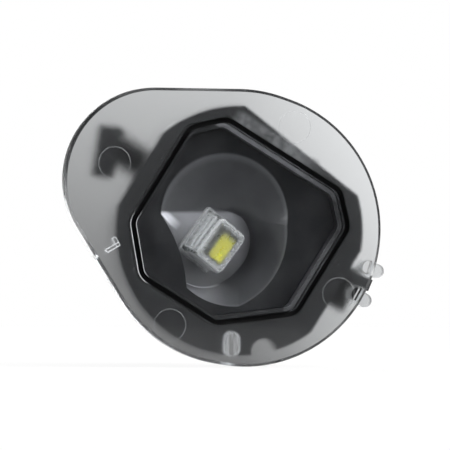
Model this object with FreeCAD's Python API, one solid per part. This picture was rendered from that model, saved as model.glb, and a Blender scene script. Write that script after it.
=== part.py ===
import FreeCAD, Part
import os
from math import acos, atan2, cos, hypot, pi, radians, sin, sqrt, tan

# Puddle light for the underside of a door mirror, in millimetres.
# It is drawn as seen by someone looking at its lens: X runs right, Z runs up, and Y runs
# back into the mirror. The origin is the middle of the housing, on the seat of the lens rim.
# The housing and all that it holds are turned on the lens: "along" and "across" are
# measured on that turned pair of axes.

# Lens outline: a hull round a small lobe and a large round end made of two circles
lobe_x = -12.0
lobe_z = 7.2
lobe_radius = 13.2
main_x = -0.1
main_z = 0.5
rim_out = 1.83
far_shift_x = 1.15
far_shift_z = -0.3
far_shrink = 0.1

# Lens plate; its ejector marks are placed along and across on a turn of their own
lens_thick = 2.2
lens_edge_break = 0.4
ejector_radius = 2.3
ejector_depth = 0.12
ejector_turn = 30.0
ejector_top = (-0.15, 17.0)
ejector_right = (17.3, -0.47)
ejector_low = (-1.7, -16.56)
ejector_left = (-20.2, -0.5)

# Weld line: the chamfered square that joins the lens to the housing; its lower corners are cut
# by one length along and another across
cup_turn = 32.0
weld_length = 27.1
weld_width = 25.6
weld_cut_top = 3.9
weld_cut_low_near = (5.4, 5.9)
weld_cut_low_far = (8.9, 7.4)
weld_corner = 2.2
rib_thick = 0.7
rib_height = 3.1
groove_depth = 1.0
groove_clear = 0.07
groove_wall = 0.6

# Locating features on the back of the lens
peg_along = 8.14
peg_out = 1.25
peg_length = 3.3
peg_width = 1.9
peg_clear = 0.2
peg_engage = 1.7
corner_rib_angle = 188.7
corner_rib_inset = 2.65
corner_rib_turn = 30.0
corner_rib_long = 2.0
corner_rib_short = 1.3
corner_rib_thick = 0.4
corner_rib_height = 1.9

# Hooks at the right edge: two clear toes with a black tongue between them
panel_gap = 2.6
hook_angle = -23.1
toe_spread = 12.6
toe_inset = 1.6
toe_post = 1.1
toe_overhang = 2.25
toe_width = 2.0
toe_height = 4.8
tongue_overhang = 1.05
tongue_width = 1.7
tongue_root = 5.6
tongue_neck = 3.3
tab_angle = -28.5
tab_width = 6.4
tab_thick = 1.8
tab_inset = 0.4
tab_clear = 0.3

# Housing
flange_thick = 2.5
corner_lip = 1.7
lip_near = 2.65
lip_far = 3.65
lip_top = 2.25
lip_skew = 6.0
flange_shift = 0.8
notch_radius = 1.9
notch_angle = -44.0
pocket_wall = 1.45
seat_step = 0.45
rear_draft = 0.5
rear_wall = 1.5
gusset_thick = 1.1
gusset_reach = 1.8
gusset_drop = 5.0
gusset_spread = 10.0

# Snap latch at the upper left
latch_out = 7.7
latch_across = 1.85
latch_head_shift = 1.8
latch_thick = 1.4
latch_width = 4.4
latch_head_length = 7.4
latch_head_depth = 3.1
latch_head_height = 2.4
latch_skew = 23.0
latch_front = 5.6
latch_foot = 13.0

# Reflector: the plate with its bowl, whose rim and floor are outlines of four arcs each, with
# their points as shares of half the weld line's length and width
shelf_drop = 4.4
plate_thick = 1.2
plate_clear = 0.1
bowl_wall = 0.55
bowl_strips = 24
floor_thick = 1.2
rim_left = (-0.745, -0.270)
rim_top = (-0.517, 0.700)
rim_right = (0.482, 0.377)
rim_far = (0.648, -0.179)
rim_low = (0.488, -0.685)
rim_foot = (0.204, -0.813)
rim_corner = (-0.091, -0.816)
rim_edge = (-0.352, -0.521)
floor_left = (-0.664, -0.252)
floor_top = (-0.313, 0.097)
floor_right = (0.067, 0.222)
floor_far = (0.309, 0.042)
floor_low = (0.356, -0.253)
floor_foot = (0.282, -0.482)
floor_corner = (-0.072, -0.737)
floor_edge = (-0.323, -0.496)

# Emitter, on an axis tilted along the housing
led_tilt = 24.0
led_along = -1.8
led_across = -2.65
led_drop = 8.6
cap_length = 6.9
cap_width = 5.8
cap_height = 4.4
cap_turn = -5.0
cap_wall = 0.7
cap_round = 0.9
cap_clear = 0.15
base_gap = 0.1
phosphor_length = 4.2
phosphor_width = 2.8
phosphor_shift = 0.5
phosphor_thick = 0.3
phosphor_gap = 0.15

# Board behind the reflector floor, and its two screws
board_near = 5.0
board_far = 9.0
board_low = 5.4
board_high = 7.4
board_thick = 1.0
boss_radius = 1.5
boss_height = 2.4
screw_radius = 0.7
screw_length = 2.1
screw_head_radius = 1.3
screw_head_height = 0.8
screw_clear = 0.05
screw_inset = 1.7
screw_slot_width = 0.35
screw_slot_length = 1.8

# Driver board on the rear wall
driver_along = -3.4
driver_across = -0.5
driver_length_share = 0.443
driver_width_share = 0.53
driver_thick = 1.0
driver_drop = 15.8
post_height = 0.5
post_radius = 0.9
post_inset = 1.3

# Two-blade connector on the rear wall
plug_along = -3.4
plug_length = 8.6
plug_width = 11.6
plug_wall = 1.2
plug_round = 1.4
plug_room_round = 0.8
plug_depth = 10.5
plug_ramp_width = 4.0
plug_ramp_height = 1.0
plug_ramp_length = 3.0
plug_ramp_inset = 3.0
blade_pitch = 4.2
blade_width = 1.5
blade_thick = 0.64
blade_reach = 5.6
blade_tail = 0.8
blade_shoulder = 0.6
blade_clear = 0.05
blade_tip = 0.2

# Parts of the driver: length along, width across, height
regulator_size = (2.5, 4.5, 1.5)
regulator_leg = 0.9
regulator_pitch = 1.5
diode_size = (2.6, 4.3, 2.1)
diode_tab = 0.5
resistor_size = (0.9, 1.6, 0.45)
resistor_pitch = 1.8
capacitor_size = (1.6, 3.2, 1.5)
capacitor_pitch = 2.6
chip_rim = 0.35
chip_proud = 0.05

# Flat leads between the boards
lead_width = 1.0
lead_thick = 0.3
lead_rise = 2.4
lead_bend = 0.9
lead_spread = 1.1
lead_landing = 1.6

# Overlap that joins pieces of one moulding
sink = 0.4

# Places that follow from the sizes above
flange_front = rib_height - groove_depth
flange_back = flange_front + flange_thick
reflector_seat = shelf_drop + plate_thick
driver_length = weld_length * driver_length_share
driver_width = weld_width * driver_width_share
rear_front = driver_drop + driver_thick + post_height
rear_back = rear_front + rear_wall
plug_mouth = rear_back + plug_depth
pocket_grow = -(rib_thick / 2 + groove_clear + groove_wall)
cup_grow = pocket_grow + pocket_wall
cavity_grow = pocket_grow - seat_step
weld_reach = hypot(weld_length / 2, weld_width / 2 - weld_cut_top)
flange_radius = weld_reach + corner_lip
far_x = main_x + far_shift_x
far_z = main_z + far_shift_z
main_radius = flange_radius + rim_out
far_radius = main_radius - far_shrink
toe_inner = far_radius - toe_inset
toe_reach = far_radius + toe_overhang
tongue_reach = far_radius + tongue_overhang
latch_reach = weld_length / 2 + latch_out
lens_circles = [
    (lobe_x, lobe_z, lobe_radius),
    (main_x, main_z, main_radius),
    (far_x, far_z, far_radius),
    (main_x, main_z, main_radius),
]
back = FreeCAD.Vector(0, 1, 0)
origin = FreeCAD.Vector(0, 0, 0)


def spot(x, z, y):
    """Point x right and z up of the origin, at depth y."""
    return FreeCAD.Vector(x, y, z)


def turned(shape):
    """Shape drawn with X along and Z across the housing, turned to its place on the lens."""
    return shape.rotated(origin, back, cup_turn)


def aimed(shape, angle, x, z):
    """Shape drawn along X from the origin, pointed at an angle above X from the centre x, z."""
    return shape.rotated(origin, back, -angle).translated(spot(x, z, 0))


def hull_wire(circles, y):
    """Outline round circles (x, z, radius), listed anticlockwise, at depth y: lines joined by arcs."""
    normals = []
    for (x0, z0, r0), (x1, z1, r1) in zip(circles, circles[1:] + circles[:1]):
        bearing = atan2(z1 - z0, x1 - x0)
        normals.append(bearing - acos((r0 - r1) / hypot(x1 - x0, z1 - z0)))
    arcs = []
    for i, (x, z, r) in enumerate(circles):
        start = normals[i - 1]
        sweep = (normals[i] - start) % (2 * pi)
        angles = [start, start + sweep / 2, start + sweep]
        arcs.append([spot(x + r * cos(a), z + r * sin(a), y) for a in angles])
    edges = []
    for arc, following in zip(arcs, arcs[1:] + arcs[:1]):
        edges.append(Part.Arc(*arc).toShape())
        edges.append(Part.LineSegment(arc[2], following[0]).toShape())
    return Part.Wire(edges)


def prism(wire, depth):
    """Solid that runs back from a flat outline."""
    return Part.Face(wire).extrude(back * depth)


def loft(first, second):
    """Solid with straight sides between two outlines of as many edges."""
    return Part.makeLoft([first, second], True, True)


def fused(shapes):
    """One moulding of shapes that overlap."""
    return shapes[0].multiFuse(shapes[1:]).removeSplitter()


def block(along, across, y, size_along, size_across, depth):
    """Box centred on along, across and running back from depth y, before it is turned."""
    corner = spot(along - size_along / 2, across - size_across / 2, y)
    return Part.makeBox(size_along, depth, size_across, corner)


def slot_wire(length, width, y):
    """Outline with round ends, its long way along X and centred on the origin."""
    radius = width / 2
    end = length / 2 - radius
    return hull_wire([(-end, 0, radius), (end, 0, radius)], y)


def cup_wire(grow, y):
    """Chamfered square of the weld line, grown outward, at depth y, in its turned place."""
    trim = weld_corner * (2 - sqrt(2))
    half_along = weld_length / 2 - weld_corner
    half_across = weld_width / 2 - weld_corner
    top = weld_cut_top - trim
    near_along, near_across = [cut - trim for cut in weld_cut_low_near]
    far_along, far_across = [cut - trim for cut in weld_cut_low_far]
    corners = [
        (half_along, far_across - half_across),
        (half_along, half_across - top),
        (half_along - top, half_across),
        (top - half_along, half_across),
        (-half_along, half_across - top),
        (-half_along, near_across - half_across),
        (near_along - half_along, -half_across),
        (half_along - far_along, -half_across),
    ]
    radius = weld_corner + grow
    wire = hull_wire([(along, across, radius) for along, across in corners], y)
    return turned(wire)


def lens_hooks():
    """Two clear toes: a post on the rim's back with a toe that reaches past the lens edge."""
    hooks = []
    for side in (-1, 1):
        middle = (toe_inner + toe_reach) / 2
        outline = slot_wire(toe_reach - toe_inner, toe_width, -sink).translated(spot(middle, 0, 0))
        toe = prism(outline, sink + toe_height)
        panel = block(toe_inner + toe_post + toe_reach, 0, 0, 2 * toe_reach, 2 * toe_width, panel_gap)
        toe = toe.cut(panel).common(toe_envelope())
        hooks.append(aimed(toe, hook_angle + side * toe_spread / 2, far_x, far_z))
    return hooks


def toe_envelope():
    """Room of a toe: all of it behind the seat, and only the post inside the lens."""
    behind = block(toe_reach, 0, 0, 2 * toe_reach, 2 * toe_width, toe_height)
    inside = block(toe_inner, 0, -sink, 2 * toe_post, 2 * toe_width, sink)
    return behind.fuse(inside)


def corner_rib():
    """L-shaped locating rib on the back of the lens."""
    depth = sink + corner_rib_height
    long_leg = Part.makeBox(corner_rib_long, depth, corner_rib_thick, spot(0, -corner_rib_thick, -sink))
    start = spot(0, -corner_rib_short, -sink)
    short_leg = Part.makeBox(corner_rib_thick, depth, corner_rib_short, start)
    distance = main_radius - corner_rib_inset
    x = main_x + distance * cos(radians(corner_rib_angle))
    z = main_z + distance * sin(radians(corner_rib_angle))
    return aimed(long_leg.fuse(short_leg), 180 + corner_rib_turn, x, z)


def peg_body(grow, front, rear):
    """Upright locating peg with round ends, grown outward, between two depths."""
    peg = prism(slot_wire(peg_length + 2 * grow, peg_width + 2 * grow, front), rear - front)
    peg = aimed(peg, 90 + cup_turn, 0, 0)
    return turned(peg.translated(spot(peg_along, -(weld_width / 2 + peg_out), 0)))


def lens_plate():
    """Plate with a broken front edge and four shallow round ejector marks in its back."""
    plate = prism(hull_wire(lens_circles, -lens_thick), lens_thick)
    front = [edge for edge in plate.Edges if edge.BoundBox.YMax < -lens_thick / 2]
    plate = plate.makeChamfer(lens_edge_break, front)
    for along, across in (ejector_top, ejector_right, ejector_low, ejector_left):
        start = spot(along, across, -ejector_depth)
        mark = Part.makeCylinder(ejector_radius, ejector_depth, start, back)
        plate = plate.cut(mark.rotated(origin, back, ejector_turn))
    return plate


def make_lens():
    """Clear lens: plate with weld rib, peg, locating rib and toes."""
    rib_outside = prism(cup_wire(rib_thick / 2, -sink), sink + rib_height)
    rib_inside = prism(cup_wire(-rib_thick / 2, -sink), sink + rib_height)
    rib = rib_outside.cut(rib_inside)
    peg = peg_body(0, -sink, flange_front + peg_engage)
    return fused([lens_plate(), rib, peg, corner_rib()] + lens_hooks())


def flat_beyond(angle, distance):
    """Block that takes away all of the flange farther than distance along an angle."""
    wide = 4 * flange_radius
    return aimed(block(distance + wide / 2, 0, 0, wide, wide, wide), angle - cup_turn, 0, 0)


def make_flange():
    """Round flange with three flats, a half-round notch and an opening for the lens's peg."""
    flange = Part.makeCylinder(flange_radius, flange_thick, spot(flange_shift, 0, flange_front), back)
    flange = flange.cut(flat_beyond(180, weld_length / 2 + lip_near))
    flange = flange.cut(flat_beyond(0, weld_length / 2 + lip_far))
    flange = flange.cut(flat_beyond(90 - lip_skew, weld_width / 2 + lip_top))
    notch = Part.makeCylinder(notch_radius, flange_thick, spot(flange_radius, 0, flange_front), back)
    flange = flange.cut(aimed(notch, notch_angle - cup_turn, 0, 0))
    return flange.cut(peg_body(peg_clear, flange_front, flange_back))


def make_tongue():
    """Flat tongue from the flange to the lens edge, between the two toes."""
    root = cos(radians(hook_angle + cup_turn)) * weld_length / 2
    outline = [
        (root, -tongue_root / 2),
        (tongue_reach - tongue_neck, -tongue_width / 2),
        (tongue_reach, -tongue_width / 2),
        (tongue_reach, tongue_width / 2),
        (tongue_reach - tongue_neck, tongue_width / 2),
        (root, tongue_root / 2),
    ]
    points = [spot(x, z, panel_gap) for x, z in outline]
    tongue = prism(Part.makePolygon(points + points[:1]), flange_back - panel_gap)
    return aimed(tongue, hook_angle, far_x, far_z)


def make_tab():
    """Broad tab from the cup, close behind the toes, that keeps them from bending back."""
    root = cos(radians(tab_angle + cup_turn)) * weld_length / 2 - pocket_wall
    reach = far_radius - tab_inset
    tab = block((root + reach) / 2, 0, toe_height + tab_clear, reach - root, tab_width, tab_thick)
    return aimed(tab, tab_angle, far_x, far_z)


def make_latch():
    """Spring latch: a web out from the cup, an arm that comes forward and a skewed head."""
    root = weld_length / 2 + cavity_grow + seat_step
    outer = latch_reach + latch_thick / 2
    middle = -(root + outer) / 2
    web = block(middle, latch_across, latch_foot - latch_thick, outer - root, latch_width, latch_thick)
    arm_depth = latch_foot - latch_front
    arm = block(-latch_reach, latch_across, latch_front, latch_thick, latch_width, arm_depth)
    half = latch_head_depth / 2
    catch = latch_front + latch_head_height / 2
    profile = [
        (-half, latch_front),
        (half, latch_front),
        (half, latch_front + latch_head_height),
        (-latch_thick / 2, latch_front + latch_head_height),
        (-half, catch),
    ]
    points = [spot(x, -latch_head_length / 2, y) for x, y in profile]
    head = Part.Face(Part.makePolygon(points + points[:1]))
    head = head.extrude(FreeCAD.Vector(0, 0, latch_head_length))
    head_across = latch_across - latch_head_shift
    head = head.rotated(origin, back, -latch_skew).translated(spot(-latch_reach, head_across, 0))
    return turned(fused([web, arm, head]))


def make_gussets():
    """Three-cornered webs under the flange on both long sides of the cup."""
    gussets = []
    wall = weld_width / 2 + cup_grow
    for side in (-1, 1):
        for step in (-1, 0, 1):
            top = side * (wall + gusset_reach)
            foot = side * (wall - pocket_wall / 2)
            along = step * gusset_spread / 2 - gusset_thick / 2
            start = flange_back - sink
            corners = [(top, start), (foot, start), (foot, flange_back + gusset_drop)]
            points = [spot(along, across, y) for across, y in corners]
            web = Part.Face(Part.makePolygon(points + points[:1]))
            gussets.append(turned(web.extrude(FreeCAD.Vector(gusset_thick, 0, 0))))
    return gussets


def rounded_block(size_along, size_across, radius, y, depth):
    """Block with rounded long edges, centred on the connector."""
    along = size_along / 2 - radius
    across = size_across / 2 - radius
    corners = [(along, -across), (along, across), (-along, across), (-along, -across)]
    outline = hull_wire([(x, z, radius) for x, z in corners], y)
    return prism(outline, depth).translated(spot(plug_along, 0, 0))


def make_plug():
    """Open connector sleeve on the rear wall, with the ramp that the plug's latch clips over."""
    sleeve = rounded_block(plug_length, plug_width, plug_round, rear_back - sink, sink + plug_depth)
    room_length = plug_length - 2 * plug_wall
    room_width = plug_width - 2 * plug_wall
    room = rounded_block(room_length, room_width, plug_room_round, rear_back, plug_depth)
    edge = plug_along + plug_length / 2
    start = plug_mouth - plug_ramp_inset - plug_ramp_length
    corners = [
        (edge - plug_wall / 2, start),
        (edge + plug_ramp_height, start),
        (edge, start + plug_ramp_length),
        (edge - plug_wall / 2, start + plug_ramp_length),
    ]
    points = [spot(along, -plug_ramp_width / 2, y) for along, y in corners]
    ramp = Part.Face(Part.makePolygon(points + points[:1]))
    ramp = ramp.extrude(FreeCAD.Vector(0, 0, plug_ramp_width))
    return turned(sleeve.cut(room)), turned(ramp)


def blade_slots(y, depth):
    """Two openings for the blades, each with its clearance, running back from depth y."""
    slots = []
    length = blade_thick + 2 * blade_clear
    width = blade_width + 2 * blade_clear
    for side in (-1, 1):
        slots.append(turned(block(plug_along, side * blade_pitch / 2, y, length, width, depth)))
    return slots


def make_housing():
    """Black housing: drafted cup with flange, weld groove, seat step, latch, tongue and connector."""
    cup = loft(cup_wire(cup_grow, flange_front), cup_wire(cup_grow - rear_draft, rear_back))
    sleeve, ramp = make_plug()
    outside = [make_flange(), cup, make_tongue(), make_tab(), make_latch(), sleeve, ramp]
    housing = fused(outside + make_gussets())
    pocket = prism(cup_wire(pocket_grow, flange_front), reflector_seat - flange_front)
    cavity = loft(cup_wire(cavity_grow, reflector_seat), cup_wire(cavity_grow - rear_draft, rear_front))
    groove_outside = prism(cup_wire(rib_thick / 2 + groove_clear, flange_front), groove_depth)
    groove_inside = prism(cup_wire(-rib_thick / 2 - groove_clear, flange_front), groove_depth)
    housing = housing.cut(pocket).cut(cavity).cut(groove_outside.cut(groove_inside))
    posts = []
    for along in (-1, 1):
        for across in (-1, 1):
            x = driver_along + along * (driver_length / 2 - post_inset)
            z = driver_across + across * (driver_width / 2 - post_inset)
            start = spot(x, z, rear_front - post_height)
            posts.append(turned(Part.makeCylinder(post_radius, post_height + sink, start, back)))
    housing = fused([housing] + posts)
    for slot in blade_slots(rear_front - sink, rear_wall + 2 * sink):
        housing = housing.cut(slot)
    return housing


def led_placed(shape):
    """Shape drawn on the emitter's axes, put in place: X along the floor, Y across it, Z out of it."""
    tilt = radians(led_tilt)
    floor_way = FreeCAD.Vector(cos(tilt), sin(tilt), 0)
    out_way = FreeCAD.Vector(sin(tilt), -cos(tilt), 0)
    turn = FreeCAD.Rotation(floor_way, FreeCAD.Vector(0, 0, 1), out_way, "XYZ")
    place = FreeCAD.Placement(spot(led_along, led_across, led_drop), turn)
    return turned(shape.transformed(place.toMatrix()))


def rim_spot(along, across):
    """Point of the bowl's rim, on the front face of the reflector."""
    return spot(along, across, shelf_drop)


def floor_spot(along, across):
    """Point of the bowl's floor, on the plane square to the emitter's axis."""
    return spot(along, across, led_drop + (along - led_along) * tan(radians(led_tilt)))


def under_floor_spot(along, across):
    """Point of the floor's back, one floor thickness behind it."""
    tilt = radians(led_tilt)
    return floor_spot(along, across) + FreeCAD.Vector(-sin(tilt), cos(tilt), 0) * floor_thick


def bowl_wire(points, grow, place):
    """Outline of four arcs through eight points, grown away from the emitter's axis."""
    grown = []
    for share_along, share_across in points:
        out_along = share_along * weld_length / 2 - led_along
        out_across = share_across * weld_width / 2 - led_across
        scale = 1 + grow / hypot(out_along, out_across)
        grown.append(place(led_along + out_along * scale, led_across + out_across * scale))
    corners = grown + grown[:1]
    arcs = [Part.Arc(*corners[i:i + 3]).toShape() for i in range(0, len(points), 2)]
    return turned(Part.Wire(arcs))


def strip_body(first, second):
    """Solid between two outlines with a skin of flat strips, for the bowl's unseen outside."""
    front = first.discretize(Number=bowl_strips + 1)
    rear = second.discretize(Number=bowl_strips + 1)
    front[-1] = front[0]
    rear[-1] = rear[0]
    skin = [Part.Face(Part.makePolygon(front)), Part.Face(Part.makePolygon(rear))]
    for i in range(bowl_strips):
        skin.append(Part.Face(Part.makePolygon([front[i], front[i + 1], rear[i], front[i]])))
        skin.append(Part.Face(Part.makePolygon([front[i + 1], rear[i + 1], rear[i], front[i + 1]])))
    return Part.Solid(Part.makeShell(skin))


def screw_places():
    """Places of the two board screws on the emitter's axes, at opposite corners of the board."""
    near = (screw_inset - board_near, board_high - screw_inset)
    far = (board_far - screw_inset, screw_inset - board_low)
    return [near, far]


def cap_block(length, width, bottom, top, shift=0):
    """Square-edged block on the emitter's axis, or shifted along it, turned as the cap is."""
    corner = FreeCAD.Vector(shift - width / 2, -length / 2, bottom)
    box = Part.makeBox(width, length, top - bottom, corner)
    return box.rotated(origin, FreeCAD.Vector(0, 0, 1), cap_turn)


def post_at(place, radius, bottom, top):
    """Cylinder on the emitter's axes."""
    return Part.makeCylinder(radius, top - bottom, FreeCAD.Vector(place[0], place[1], bottom))


def make_reflector():
    """Black reflector: plate with a bowl lofted from its rim to a tilted floor, and two screw bosses."""
    rim = [rim_left, rim_top, rim_right, rim_far]
    rim += [rim_low, rim_foot, rim_corner, rim_edge]
    floor = [floor_left, floor_top, floor_right, floor_far]
    floor += [floor_low, floor_foot, floor_corner, floor_edge]
    plate = prism(cup_wire(pocket_grow - plate_clear, shelf_drop), plate_thick)
    bowl = strip_body(bowl_wire(rim, bowl_wall, rim_spot), bowl_wire(floor, bowl_wall, under_floor_spot))
    bosses = []
    for place in screw_places():
        bosses.append(led_placed(post_at(place, boss_radius, -floor_thick, boss_height - floor_thick)))
    reflector = fused([plate, bowl] + bosses)
    reflector = reflector.cut(loft(bowl_wire(rim, 0, rim_spot), bowl_wire(floor, 0, floor_spot)))
    window_length = cap_length + 2 * cap_clear
    window_width = cap_width + 2 * cap_clear
    window = cap_block(window_length, window_width, -2 * floor_thick, floor_thick)
    reflector = reflector.cut(led_placed(window))
    pilot_top = screw_length - floor_thick - board_thick
    for place in screw_places():
        pilot = post_at(place, screw_radius + screw_clear, -floor_thick, pilot_top)
        reflector = reflector.cut(led_placed(pilot))
    return reflector


def make_led_board():
    """Board under the reflector's floor, with two screw holes."""
    bottom = -floor_thick - board_thick
    corner = FreeCAD.Vector(-board_near, -board_low, bottom)
    board = Part.makeBox(board_near + board_far, board_low + board_high, board_thick, corner)
    for place in screw_places():
        board = board.cut(post_at(place, screw_radius + screw_clear, bottom, bottom + board_thick))
    return led_placed(board)


def make_board_screws():
    """Two pan-head screws with cross slots, from the board's back into the reflector."""
    screws = []
    seat = -floor_thick - board_thick
    for place in screw_places():
        head = post_at(place, screw_head_radius, seat - screw_head_height, seat)
        shank = post_at(place, screw_radius, seat - screw_head_height / 2, seat + screw_length)
        screw = head.fuse(shank).removeSplitter()
        middle = FreeCAD.Vector(place[0], place[1], seat - screw_head_height)
        for turn in (0, 90):
            corner = FreeCAD.Vector(-screw_slot_length / 2, -screw_slot_width / 2, 0)
            slot = Part.makeBox(screw_slot_length, screw_slot_width, screw_head_height / 2, corner)
            slot = slot.rotated(origin, FreeCAD.Vector(0, 0, 1), turn)
            screw = screw.cut(slot.translated(middle))
        screws.append(led_placed(screw))
    return Part.makeCompound(screws)


def make_led_base():
    """Pale pedestal that lifts the emitter off the board, inside the cap."""
    shrink = 2 * (cap_wall + base_gap)
    top = cap_height - cap_wall - phosphor_gap - phosphor_thick
    return led_placed(cap_block(cap_length - shrink, cap_width - shrink, -floor_thick, top))


def make_led_phosphor():
    """Yellow emitter on top of the pedestal."""
    top = cap_height - cap_wall - phosphor_gap
    bottom = top - phosphor_thick
    return led_placed(cap_block(phosphor_length, phosphor_width, bottom, top, phosphor_shift))


def make_led_cap():
    """Clear cap over the pedestal, open at the board, with rounded outer edges."""
    outside = cap_block(cap_length, cap_width, -floor_thick, cap_height)
    rounded = [edge for edge in outside.Edges if edge.BoundBox.ZMax > cap_height - cap_round]
    outside = outside.makeFillet(cap_round, rounded)
    room_length = cap_length - 2 * cap_wall
    room_width = cap_width - 2 * cap_wall
    room = cap_block(room_length, room_width, -floor_thick, cap_height - cap_wall)
    return led_placed(outside.cut(room))


def make_driver_board():
    """Board on the rear posts, with two openings for the blades."""
    board = block(driver_along, driver_across, driver_drop, driver_length, driver_width, driver_thick)
    board = turned(board)
    for slot in blade_slots(driver_drop, driver_thick):
        board = board.cut(slot)
    return board


def make_terminal(side):
    """Blade with a shoulder that seats on the inside of the rear wall."""
    across = side * blade_pitch / 2
    tail = driver_drop - blade_tail
    blade = block(plug_along, across, tail, blade_thick, blade_width, rear_back + blade_reach - tail)
    points = [edge for edge in blade.Edges if edge.BoundBox.YMin > rear_back + blade_reach - sink]
    blade = blade.makeChamfer(blade_tip, points)
    wide = blade_width + 2 * blade_shoulder
    shoulder = block(plug_along, across, rear_front - post_height, blade_thick, wide, post_height)
    return turned(blade.fuse(shoulder).removeSplitter())


def on_driver(along, across, size):
    """Chip of a given size that stands on the driver board, placed from the board's middle."""
    length, width, height = size
    top = driver_drop - height
    return block(driver_along + along, driver_across + across, top, length, width, height)


def make_regulator():
    """Regulator: moulded body with a tab on one side and three legs on the other."""
    along = driver_length / 2 - regulator_size[0]
    across = driver_width / 2 - regulator_size[1] / 2 - chip_rim
    pieces = [on_driver(along, across, regulator_size)]
    reach = regulator_size[0] / 2 + regulator_leg / 2
    for step in (-1, 0, 1):
        leg = (regulator_leg + sink, chip_rim, chip_rim)
        pieces.append(on_driver(along - reach + sink / 2, across + step * regulator_pitch, leg))
    tab = (regulator_leg + sink, regulator_size[1] / 2, chip_rim)
    pieces.append(on_driver(along + reach - sink / 2, across, tab))
    return turned(fused(pieces))


def make_diode():
    """Diode against reversed supply: body with a folded tab at each end."""
    along = diode_size[0] / 2 + chip_rim - driver_length / 2
    across = driver_width / 2 - diode_size[1] / 2 - diode_tab - chip_rim
    pieces = [on_driver(along, across, diode_size)]
    tab = (diode_size[0] / 2, diode_tab + sink, diode_size[2] / 2)
    for side in (-1, 1):
        pieces.append(on_driver(along, across + side * (diode_size[1] + diode_tab - sink) / 2, tab))
    return turned(fused(pieces))


def chip_row(count, along, across, pitch, size):
    """Row of like chips along the driver board, with end caps that stand proud."""
    chips = []
    for i in range(count):
        x = along + i * pitch
        body = on_driver(x, across, size)
        caps = []
        for side in (-1, 1):
            cap = (size[0] + 2 * chip_proud, chip_rim, size[2] + chip_proud)
            caps.append(on_driver(x, across + side * (size[1] - chip_rim) / 2, cap))
        chips.append(turned(fused([body] + caps)))
    return Part.makeCompound(chips)


def make_resistors():
    """Three chip resistors that set the current."""
    along = driver_length / 2 - resistor_size[0] / 2 - 2 * chip_rim - 2 * resistor_pitch
    across = resistor_size[1] / 2 + 2 * chip_rim - driver_width / 2
    return chip_row(3, along, across, resistor_pitch, resistor_size)


def make_capacitors():
    """Two ceramic capacitors across the supply."""
    along = capacitor_size[0] / 2 + 2 * chip_rim - driver_length / 2
    across = capacitor_size[1] / 2 + 2 * chip_rim - driver_width / 2
    return chip_row(2, along, across, capacitor_pitch, capacitor_size)


def bent_path(points, radius):
    """Path along straight runs between points, with an arc of one radius at each corner."""
    edges = []
    here = points[0]
    for before, corner, after in zip(points, points[1:], points[2:]):
        come = (corner - before).normalize()
        leave = (after - corner).normalize()
        half_turn = come.getAngle(leave) / 2
        first = corner - come * radius * tan(half_turn)
        last = corner + leave * radius * tan(half_turn)
        inward = (leave - come).normalize()
        middle = corner + inward * radius * (1 / cos(half_turn) - 1)
        edges.append(Part.LineSegment(here, first).toShape())
        edges.append(Part.Arc(first, middle, last).toShape())
        here = last
    edges.append(Part.LineSegment(here, points[-1]).toShape())
    return Part.Wire(edges)


def make_lead(side):
    """Flat lead from the back of the emitter's board to the front of the driver board, bent twice."""
    tilt = radians(led_tilt)
    behind = floor_thick + board_thick
    across = led_across + side * lead_spread
    start_along = led_along - board_near / 2 * cos(tilt) - behind * sin(tilt)
    start_drop = led_drop - board_near / 2 * sin(tilt) + behind * cos(tilt)
    start = spot(start_along, across, start_drop)
    leave = FreeCAD.Vector(-sin(tilt), cos(tilt), 0)
    end = spot(driver_along + lead_landing, across, driver_drop)
    path = bent_path([start, start + leave * lead_rise, end - back * lead_rise, end], lead_bend)
    wide = FreeCAD.Vector(0, 0, lead_width / 2)
    thick = FreeCAD.Vector(cos(tilt), sin(tilt), 0) * lead_thick / 2
    corners = [start + wide + thick, start + wide - thick, start - wide - thick, start - wide + thick]
    section = Part.makePolygon(corners + corners[:1])
    return turned(path.makePipeShell([section], True, False))


pieces = {
    "lens": make_lens(),
    "housing": make_housing(),
    "reflector": make_reflector(),
    "led_board": make_led_board(),
    "led_base": make_led_base(),
    "led_phosphor": make_led_phosphor(),
    "led_cap": make_led_cap(),
    "board_screws": make_board_screws(),
    "driver_board": make_driver_board(),
    "regulator": make_regulator(),
    "diode": make_diode(),
    "resistors": make_resistors(),
    "capacitors": make_capacitors(),
    "terminal_plus": make_terminal(1),
    "terminal_minus": make_terminal(-1),
    "lead_plus": make_lead(1),
    "lead_minus": make_lead(-1),
}

os.makedirs("parts", exist_ok=True)
for name, shape in pieces.items():
    shape.exportStep("parts/" + name + ".step")
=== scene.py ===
"""Looks of a puddle light: a finish for each piece, with painted light and shade on some, whitened lines
and painted highlights on the clear ones, and a white stage.
"""
import math

import bpy
import numpy as np
from bpy.props import FloatProperty, FloatVectorProperty, PointerProperty
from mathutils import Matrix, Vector


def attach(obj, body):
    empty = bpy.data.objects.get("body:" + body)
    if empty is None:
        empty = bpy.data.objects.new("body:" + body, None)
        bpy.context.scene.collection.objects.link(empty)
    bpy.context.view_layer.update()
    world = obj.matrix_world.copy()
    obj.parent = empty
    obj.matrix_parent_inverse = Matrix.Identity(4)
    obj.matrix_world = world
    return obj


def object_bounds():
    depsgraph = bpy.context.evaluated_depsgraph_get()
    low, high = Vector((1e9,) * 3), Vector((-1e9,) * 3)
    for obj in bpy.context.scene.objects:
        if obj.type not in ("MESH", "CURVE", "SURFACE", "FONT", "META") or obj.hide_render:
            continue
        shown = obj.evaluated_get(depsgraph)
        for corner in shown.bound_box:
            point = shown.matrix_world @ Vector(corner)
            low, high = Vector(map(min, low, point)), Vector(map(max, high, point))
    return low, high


bl_info = {
    "name": "Puddle Light",
    "version": (1, 0, 0),
    "blender": (4, 5, 0),
    "location": "View3D > Sidebar > Puddle Light",
    "description": "Finishes and stage for a puddle light of a door mirror",
    "category": "Object",
}

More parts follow.
